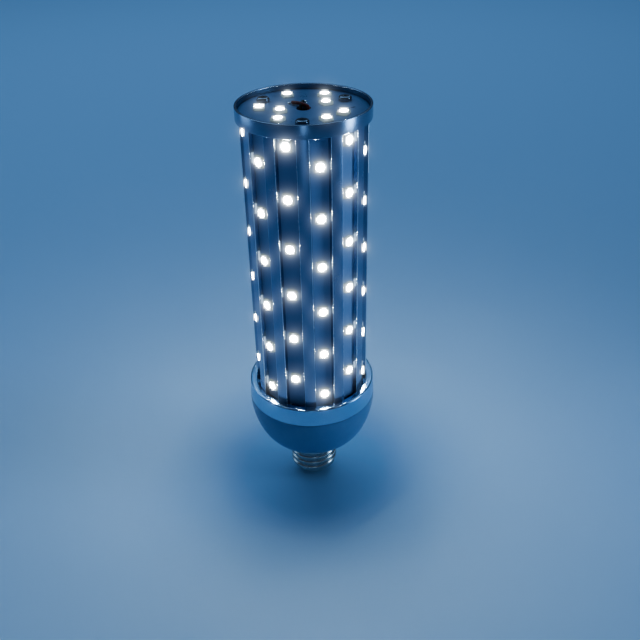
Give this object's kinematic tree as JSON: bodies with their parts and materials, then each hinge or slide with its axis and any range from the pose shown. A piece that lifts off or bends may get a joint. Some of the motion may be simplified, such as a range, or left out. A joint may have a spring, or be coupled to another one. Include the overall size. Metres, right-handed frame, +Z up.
{
  "type": "corn led bulb",
  "caption": "Corn lamp with strips of LEDs in the channels of a round heat sink, a disc of LEDs on top, a bowl below and an Edison screw cap.",
  "frame": {"origin": "on the lamp's axis, in the plane where the screw cap's rim meets the bowl", "axes": "+Z up the axis, from the screw cap to the disc of LEDs; +X where one strip faces"},
  "size_m": [0.0682, 0.0682, 0.219],
  "materials": {
    "body_aluminium": "satin extruded",
    "ring_aluminium": "satin turned",
    "collar_aluminium": "polished",
    "strip_mask": "aluminium-core board with a pale solder mask",
    "disc_mask": "aluminium-core board with a pale solder mask",
    "led_package": "white housing with a pale window, lit",
    "screw_steel": "zinc plated",
    "lead_red": "smooth insulation",
    "lead_black": "smooth insulation",
    "jumper_white": "smooth insulation",
    "solder": "bright solder",
    "bowl_plastic": "smooth moulded, satin",
    "cap_nickel": "rolled, nickel plated",
    "insulator_black": "smooth moulded",
    "contact_metal": "pressed, plated",
    "sleeve_plastic": "smooth tube",
    "driver_mask": "board with a green solder mask",
    "fuse_body": "lacquered",
    "film_capacitor": "moulded box",
    "ferrite": "sintered",
    "capacitor_sleeve": "sleeved can",
    "winding_tape": "taped winding",
    "chip_black": "moulded package"
  },
  "bodies": {
    "root": {"heat_sink": "body_aluminium", "top_ring": "ring_aluminium", "bottom_collar": "collar_aluminium", "disc_board": "disc_mask", "disc_leds": "led_package", "disc_screws": "screw_steel", "collar_screws": "screw_steel", "disc_lead_red": "lead_red", "disc_lead_black": "lead_black", "strip_lead_red": "lead_red", "strip_lead_black": "lead_black", "live_lead": "lead_red", "neutral_lead": "lead_black", "disc_solder": "solder", "bowl_housing": "bowl_plastic", "top_jumpers": "jumper_white", "foot_jumpers": "jumper_white", "screw_cap_shell": "cap_nickel", "cap_insulator": "insulator_black", "centre_contact": "contact_metal", "driver_sleeve": "sleeve_plastic", "driver_board": "driver_mask", "driver_fuse": "fuse_body", "driver_film_capacitor": "film_capacitor", "driver_choke": "ferrite", "driver_capacitor": "capacitor_sleeve", "driver_transformer_core": "ferrite", "driver_transformer_winding": "winding_tape", "driver_rectifier": "chip_black", "driver_controller": "chip_black", "led_strip_01": "strip_mask", "strip_leds_01": "led_package", "led_strip_02": "strip_mask", "strip_leds_02": "led_package", "led_strip_03": "strip_mask", "strip_leds_03": "led_package", "led_strip_04": "strip_mask", "strip_leds_04": "led_package", "led_strip_05": "strip_mask", "strip_leds_05": "led_package", "led_strip_06": "strip_mask", "strip_leds_06": "led_package", "led_strip_07": "strip_mask", "strip_leds_07": "led_package", "led_strip_08": "strip_mask", "strip_leds_08": "led_package", "led_strip_09": "strip_mask", "strip_leds_09": "led_package", "led_strip_10": "strip_mask", "strip_leds_10": "led_package", "led_strip_11": "strip_mask", "strip_leds_11": "led_package", "led_strip_12": "strip_mask", "strip_leds_12": "led_package"}
  },
  "joints": []
}
